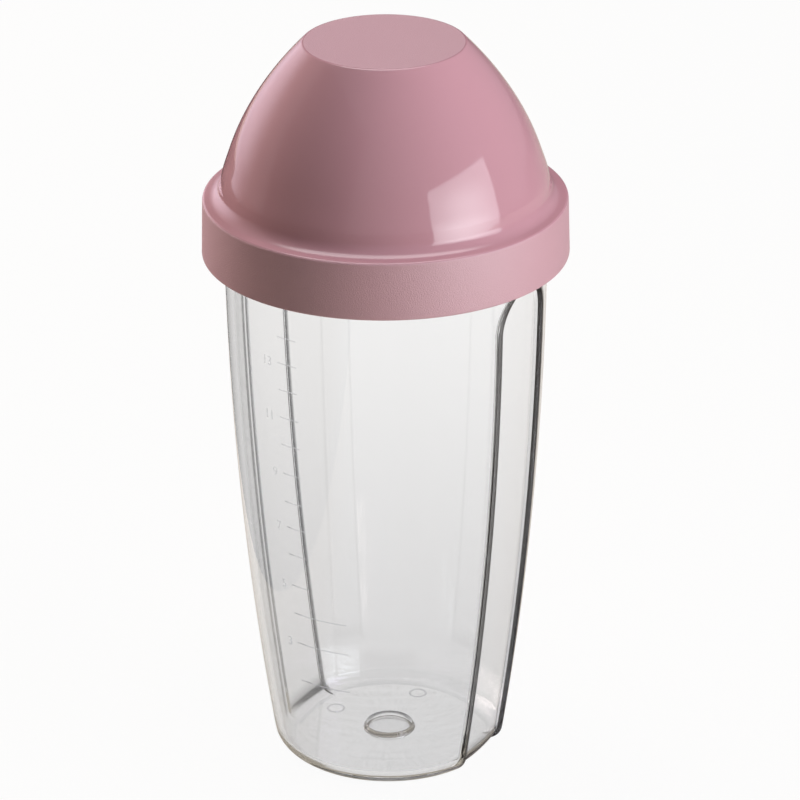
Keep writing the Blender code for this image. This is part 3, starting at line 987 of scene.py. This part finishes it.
# %% [markdown]
# ## The pink plastic
#
# The lid's dusty pink is one pigment with two finishes. The dome and the ledge are polished, with a faint
# waviness. The top disc and the collar's side carry the fine grain that spark erosion leaves in a mould, with
# a soft sheen. The lid is one moulding, so each of its faces takes one of two materials from where it sits.

# %% Pink finishes
PINK = (0.56, 0.297, 0.325, 1.0)
GRAIN_SHEEN = {
    "IOR": 1.7,
    "Specular IOR Level": 1.0,
    "Sheen Weight": 0.3,
    "Sheen Roughness": 0.45,
    "Sheen Tint": (1.0, 0.82, 0.88, 1.0),
}


def mark_matte_faces(lid):
    """Give the second material to the faces of the top disc and the collar's side, by height and radius."""
    x, y, height = read_points(lid.data.polygons, "center").T
    radius = np.hypot(x, y)
    on_disc = (height > LEDGE + DOME_HEIGHT - HAIR) & (radius < DISC_RADIUS - 0.3 * MM)
    on_collar = (height < LEDGE - 0.45 * MM) & (radius > COLLAR_RADIUS - 1.0 * MM)
    lid.data.polygons.foreach_set("material_index", (on_disc | on_collar).astype(np.int32))
    print("matte faces on the lid:", int(on_disc.sum() + on_collar.sum()))


pink_gloss = new_material("pink_polished", PINK, 0.08, {"IOR": 1.56})
add_grain(pink_gloss, 60.0, (0.05, 0.09), 0.15)
pink_matte = new_material("pink_grained", PINK, 0.45, GRAIN_SHEEN)
add_grain(pink_matte, 3800.0, (0.5, 0.58), 0.9, 0.12 * MM)
lid.data.materials.append(pink_gloss)
lid.data.materials.append(pink_matte)
mark_matte_faces(lid)

# %% [markdown]
# ## The clear plastic
#
# The cup is clear styrene: nearly colourless, and with a higher index of refraction than glass. Its colour is
# darker towards the foot, as painted shade. The real panels' edges are dark lines. A clear shader alone leaves
# them too pale, so the points' painted shade is mixed into the colour, but not on the far side of the cup where
# it is seen edge-on, as that would double the lines.

# %% Clear plastic
# The foot's colour is painted shade, and so is the near-black colour mixed in at the edges.
TOP_TINT = (0.975, 0.975, 0.975, 1)
FOOT_PAINTED_SHADE = (0.83, 0.83, 0.835, 1)
EDGE_PAINTED_SHADE = (0.01, 0.01, 0.011, 1)
EDGE_ON = {"From Min": 0.33, "From Max": 0.55, "To Max": 0.96}


def far_rim_mask(tree, place):
    """0 where a wall on the far side turns edge-on to the viewer, and 1 elsewhere.

    The Layer Weight node is given the direction straight out from the axis instead of the surface's normal.
    """
    outward = add_node(tree, "VectorMath", {0: place, 1: (1, 1, 0)}, operation="MULTIPLY")
    unit = add_node(tree, "VectorMath", {0: outward.outputs["Vector"]}, operation="NORMALIZE")
    turned = add_node(tree, "LayerWeight", {"Normal": unit.outputs["Vector"]})
    rim = add_node(tree, "MapRange", {"Value": turned.outputs["Facing"], **EDGE_ON})
    behind = add_node(tree, "NewGeometry").outputs["Backfacing"]
    loss = calculate(tree, "MULTIPLY", rim.outputs["Result"], behind)
    return calculate(tree, "SUBTRACT", 1.0, loss)


def tint_clear_plastic(material):
    """Base colour from the foot's painted shade to the top's colour by height, and dark painted shade by the
    attribute.
    """
    tree = material.node_tree
    place = add_node(tree, "TexCoord").outputs["Object"]
    height = add_node(tree, "SeparateXYZ", {"Vector": place}).outputs["Z"]
    inputs = {"Value": height, "From Max": CUP_HEIGHT}
    climb = add_node(tree, "MapRange", inputs, interpolation_type="SMOOTHSTEP")
    tint_and_shade = mix_colours(tree, climb.outputs["Result"], FOOT_PAINTED_SHADE, TOP_TINT)
    edge = add_node(tree, "Attribute", attribute_name="painted_shade").outputs["Fac"]
    shown = calculate(tree, "MULTIPLY", edge, far_rim_mask(tree, place))
    colour = mix_colours(tree, shown, tint_and_shade, EDGE_PAINTED_SHADE)
    tree.links.new(colour, tree.nodes["Principled BSDF"].inputs["Base Color"])


styrene = {"IOR": 1.57, "Transmission Weight": 1.0, "Specular IOR Level": 0.4}
clear = new_material("clear_styrene", (0.9, 0.9, 0.905, 1.0), 0.0, styrene)
tint_clear_plastic(clear)
cup.data.materials.append(clear)

# The marks are greyer than the cup: painted shade for the faint dark lines that the real marks show.
raised = {"IOR": 1.12, "Transmission Weight": 1.0, "Specular IOR Level": 0.2}
raised_clear = new_material("clear_raised_marks", (0.8, 0.8, 0.81, 1.0), 0.1, raised)
for marks in (scale_marks, scale_numbers, pin_marks):
    marks.data.materials.append(raised_clear)

# %% [markdown]
# ## The hidden pieces
#
# The seal is silicone: pale, soft and a little cloudy. The strainer is a plain white moulding. Both have the
# grain, because the open lid shows them from close by.

# %% Silicone and white plastic
cloudy = {"Subsurface Weight": 0.15, "Subsurface Scale": 1 * MM}
silicone = new_material("seal_silicone", (0.78, 0.78, 0.76, 1.0), 0.55, cloudy)
add_grain(silicone, 1500.0, (0.5, 0.6), 0.2)
seal.data.materials.append(silicone)

white = new_material("strainer_white", (0.84, 0.84, 0.82, 1.0), 0.35)
add_grain(white, 1800.0, (0.3, 0.4), 0.25)
for piece in (strainer_floor, strainer_rim):
    piece.data.materials.append(white)

# %% [markdown]
# ## The floor
#
# The cup stands on a plain white floor. More lamps would make it white, but would wash out the cup. So rays
# from the camera, straight or through the clear wall, see nearly plain white, while all others meet a lit
# floor that keeps a soft shadow. Seen through the wall, the white is weaker on the left: painted shade that
# gives the wall its grey side.

# %% Floor
PHOTO_AZIMUTH = 29.5
FLOOR_RADIUS, FLOOR_CORNERS = 6.0, 96
FLOOR_WHITE = 0.95
LEFT_SHADE_BORDER = {"From Min": -24 * MM, "From Max": -11 * MM, "To Min": 0.88}


def left_of_the_cup(tree):
    """Painted shade: 1 on the floor right of a soft border, and less on its left, as measured along a fixed
    direction.
    """
    place = add_node(tree, "TexCoord").outputs["Object"]
    turn = math.radians(PHOTO_AZIMUTH)
    inputs = {0: place, 1: (math.cos(turn), math.sin(turn), 0)}
    across = add_node(tree, "VectorMath", inputs, operation="DOT_PRODUCT").outputs["Value"]
    border = {"Value": across, **LEFT_SHADE_BORDER}
    return add_node(tree, "MapRange", border, interpolation_type="SMOOTHSTEP").outputs["Result"]


def white_for_the_camera(material):
    """Mix a floor's lit colour with plain white, where camera rays and clear rays meet it."""
    tree = material.node_tree
    path = add_node(tree, "LightPath").outputs
    through = calculate(tree, "MULTIPLY", path["Is Transmission Ray"], left_of_the_cup(tree))
    straight = calculate(tree, "MAXIMUM", path["Is Camera Ray"], through)
    amount = calculate(tree, "MULTIPLY", straight, FLOOR_WHITE)
    lit = tree.nodes["Principled BSDF"].outputs["BSDF"]
    glow = add_node(tree, "Emission").outputs["Emission"]
    mix = add_node(tree, "MixShader", {"Fac": amount, 1: lit, 2: glow})
    tree.links.new(mix.outputs["Shader"], tree.nodes["Material Output"].inputs["Surface"])


corners = polar(FLOOR_RADIUS, np.linspace(0, math.tau, FLOOR_CORNERS, endpoint=False), 0.0)
floor = add_mesh("floor", corners, [list(range(FLOOR_CORNERS))])
floor_paint = new_material("floor_white", (0.62, 0.57, 0.48, 1.0), 0.8)
white_for_the_camera(floor_paint)
floor.data.materials.append(floor_paint)

# %% [markdown]
# ## The room
#
# The world does the same: white where the camera looks at it, straight or through the cup, grey where it is
# mirrored, and a dim warm shade as light. A world that lit the lid as white as it looks would leave it no
# dark side.

# %% World
ROOM_SHADE = (0.02, 0.018, 0.015, 1)
MIRRORED_ROOM = (0.2, 0.2, 0.2, 1)


def studio_world():
    """White for camera and clear rays, grey for mirror rays, and the room's shade for all others."""
    world = bpy.data.worlds.new("studio")
    world.use_nodes = True
    tree = world.node_tree
    path = add_node(tree, "LightPath").outputs
    room = mix_colours(tree, path["Is Glossy Ray"], ROOM_SHADE, MIRRORED_ROOM)
    straight = calculate(tree, "MAXIMUM", path["Is Camera Ray"], path["Is Transmission Ray"])
    seen = mix_colours(tree, straight, room, (1, 1, 1, 1))
    tree.links.new(seen, tree.nodes["Background"].inputs["Color"])
    print("world nodes:", len(tree.nodes))
    return world


bpy.context.scene.world = studio_world()

# %% [markdown]
# ## Lamps
#
# A large soft lamp low on the right makes the bright window on the dome. A second hangs overhead, and a third
# behind on the left draws the rim there. A softbox is brightest in its middle, so these three fall off
# towards their edges. Two small ones lighten the sides, and mirror rays don't see them.

# %% Lamps
AIM = np.array([0, 0, 0.15])


def lamp_place(azimuth, elevation, distance):
    """The matrix of a thing that faces the cup, with azimuth counted from the camera towards its right."""
    across, rise = math.radians(azimuth + PHOTO_AZIMUTH), math.radians(elevation)
    side, away = polar(1, across, 0), polar(1, across - math.pi / 2, 0)
    out = away * math.cos(rise) + np.array([0, 0, math.sin(rise)])
    place = np.eye(4)
    place[:3, 0], place[:3, 1], place[:3, 2] = side, np.cross(out, side), out
    place[:3, 3] = out * distance + AIM
    return place


def add_lamp(name, place, size, power, colour=(1, 1, 1)):
    """A rectangular area lamp that faces the cup."""
    lamp = bpy.data.lights.new(name, "AREA")
    lamp.shape = "RECTANGLE"
    lamp.size, lamp.size_y = size
    lamp.energy = power
    lamp.color = colour
    holder = bpy.data.objects.new(name, lamp)
    bpy.context.collection.objects.link(holder)
    holder.matrix_world = Matrix(place.tolist())
    print(f"lamp {name}: {power} W")
    return holder


def soften_lamp(holder, middle, reach, strength):
    """Let a lamp fall off with the distance from its bright middle, all given in shares of its sides."""
    lamp = holder.data
    lamp.use_nodes = True
    tree = lamp.node_tree
    spot = add_node(tree, "NewGeometry").outputs["Parametric"]
    away = add_node(tree, "VectorMath", {0: spot, 1: (*middle, 0)}, operation="DISTANCE").outputs["Value"]
    limits = dict(zip(("From Min", "From Max", "To Min", "To Max"), (*reach, *strength)))
    inputs = {"Value": away, **limits}
    fall = add_node(tree, "MapRange", inputs, interpolation_type="SMOOTHSTEP").outputs["Result"]
    tree.links.new(fall, tree.nodes["Emission"].inputs["Strength"])


key = add_lamp("key_right", lamp_place(57, 6.3, 1.1), (1.05, 0.63), 8.5, (0.95, 1.0, 1.04))
soften_lamp(key, middle=(0.45, 0.36), reach=(0.05, 0.65), strength=(1.75, 0.7))
overhead = add_lamp("overhead", lamp_place(190, 78, 1.2), (1.3, 1.2), 13.5)
soften_lamp(overhead, middle=(0.5, 0.5), reach=(0.3, 0.6), strength=(1.25, 0.0))
strip = add_lamp("back_left", lamp_place(-143, 5, 1.2), (1.7, 1.4), 5.5, (1.0, 0.88, 1.06))
soften_lamp(strip, middle=(0.5, 0.5), reach=(0.12, 0.5), strength=(1.6, 0.0))
side_right = add_lamp("side_right", lamp_place(72, 32, 1.1), (0.6, 0.6), 3.0, (1.0, 0.85, 1.25))
side_left = add_lamp("side_left", lamp_place(-125, 8, 1.1), (0.6, 0.6), 8.5, (1.08, 0.97, 0.9))
side_right.visible_glossy = side_left.visible_glossy = False

# %% [markdown]
# ## Black cards
#
# Photographers hold black cards beside a shiny thing to give its reflections a dark side. Three do that here.
# Only mirror rays see them, so they take no light from the cup.

# %% Black cards


def floor_place(azimuth, distance):
    """The matrix of a card that lies just over the floor, at an azimuth counted as for the lamps."""
    across = math.radians(azimuth + PHOTO_AZIMUTH)
    place = np.eye(4)
    place[:3, 0], place[:3, 1] = polar(1, across, 0), polar(1, across - math.pi / 2, 0)
    place[:3, 3] = place[:3, 1] * distance + (0, 0, 2 * MM)
    return place


def add_black_card(name, place, size):
    """A flat black card: its corners are half its size away from its place, along the matrix's x and y."""
    half = np.array(size) / 2
    corners = np.array([(-1, -1), (1, -1), (1, 1), (-1, 1)]) * half
    points = place[:3, 3] + corners[:, :1] * place[:3, 0] + corners[:, 1:] * place[:3, 1]
    card = add_mesh(name, points, [[0, 1, 2, 3]])
    card.visible_camera = card.visible_diffuse = card.visible_shadow = False
    card.visible_transmission = False
    card.data.materials.append(new_material(name + "_black", (0.0, 0.0, 0.0, 1.0), 1.0))


add_black_card("card_left", lamp_place(-60, 24, 1.35), (1.75, 1.5))
add_black_card("card_behind", lamp_place(180, 24, 1.35), (1.0, 1.5))
add_black_card("card_low_left", floor_place(-95, 0.7), (1.6, 1.2))

# %% [markdown]
# ## The camera
#
# The camera is a long lens, as product photographers use, looking down on the cup from a little to the right
# of the gap between the panels. Its focal length is known in pixels of the picture, and turned into
# millimetres on a sensor.

# %% Camera
PICTURE_SIZE = 800
SENSOR_WIDTH = 36.0
LENS_PIXELS = 4321.0


def camera_matrix(distance, height, pitch, yaw, roll):
    """Stand at a distance and height, look down by the pitch, and turn it all round the cup."""
    look = np.array([math.sin(yaw) * math.cos(pitch), math.cos(yaw) * math.cos(pitch), -math.sin(pitch)])
    right = np.cross(look, (0, 0, 1))
    right /= np.linalg.norm(right)
    up = np.cross(right, look)
    matrix = np.eye(4)
    matrix[:3, 0] = math.cos(roll) * right + math.sin(roll) * up
    matrix[:3, 1] = -math.sin(roll) * right + math.cos(roll) * up
    matrix[:3, 2] = -look
    matrix[:3, 3] = (0, -distance, height)
    return Matrix.Rotation(math.radians(PHOTO_AZIMUTH), 4, "Z") @ Matrix(matrix.tolist())


camera_data = bpy.data.cameras.new("photo_camera")
camera_data.sensor_width = SENSOR_WIDTH
camera_data.lens = LENS_PIXELS / PICTURE_SIZE * SENSOR_WIDTH
camera_data.clip_start = 10 * MM
camera = bpy.data.objects.new("photo_camera", camera_data)
bpy.context.collection.objects.link(camera)
camera.matrix_world = camera_matrix(0.97899, 0.53663, pitch=0.4246, yaw=0.00332, roll=-0.0060)
bpy.context.scene.camera = camera
bpy.context.scene.view_settings.view_transform = "Standard"
print(f"lens: {camera_data.lens:.0f} mm")

# %% [markdown]
# ## Light in the clear walls
#
# Light that enters a clear wall at a shallow angle turns back inside it again and again before it leaves. A
# path that is given up on the way comes out black, and draws lines that a real cup doesn't have. So each path
# may turn a few times more than usual.

# %% Longer light paths
LONGEST_PATH = 16
light_paths = bpy.context.scene.cycles
light_paths.max_bounces = LONGEST_PATH
light_paths.glossy_bounces = LONGEST_PATH
light_paths.transmission_bounces = LONGEST_PATH
print("turns of a light path:", light_paths.max_bounces)
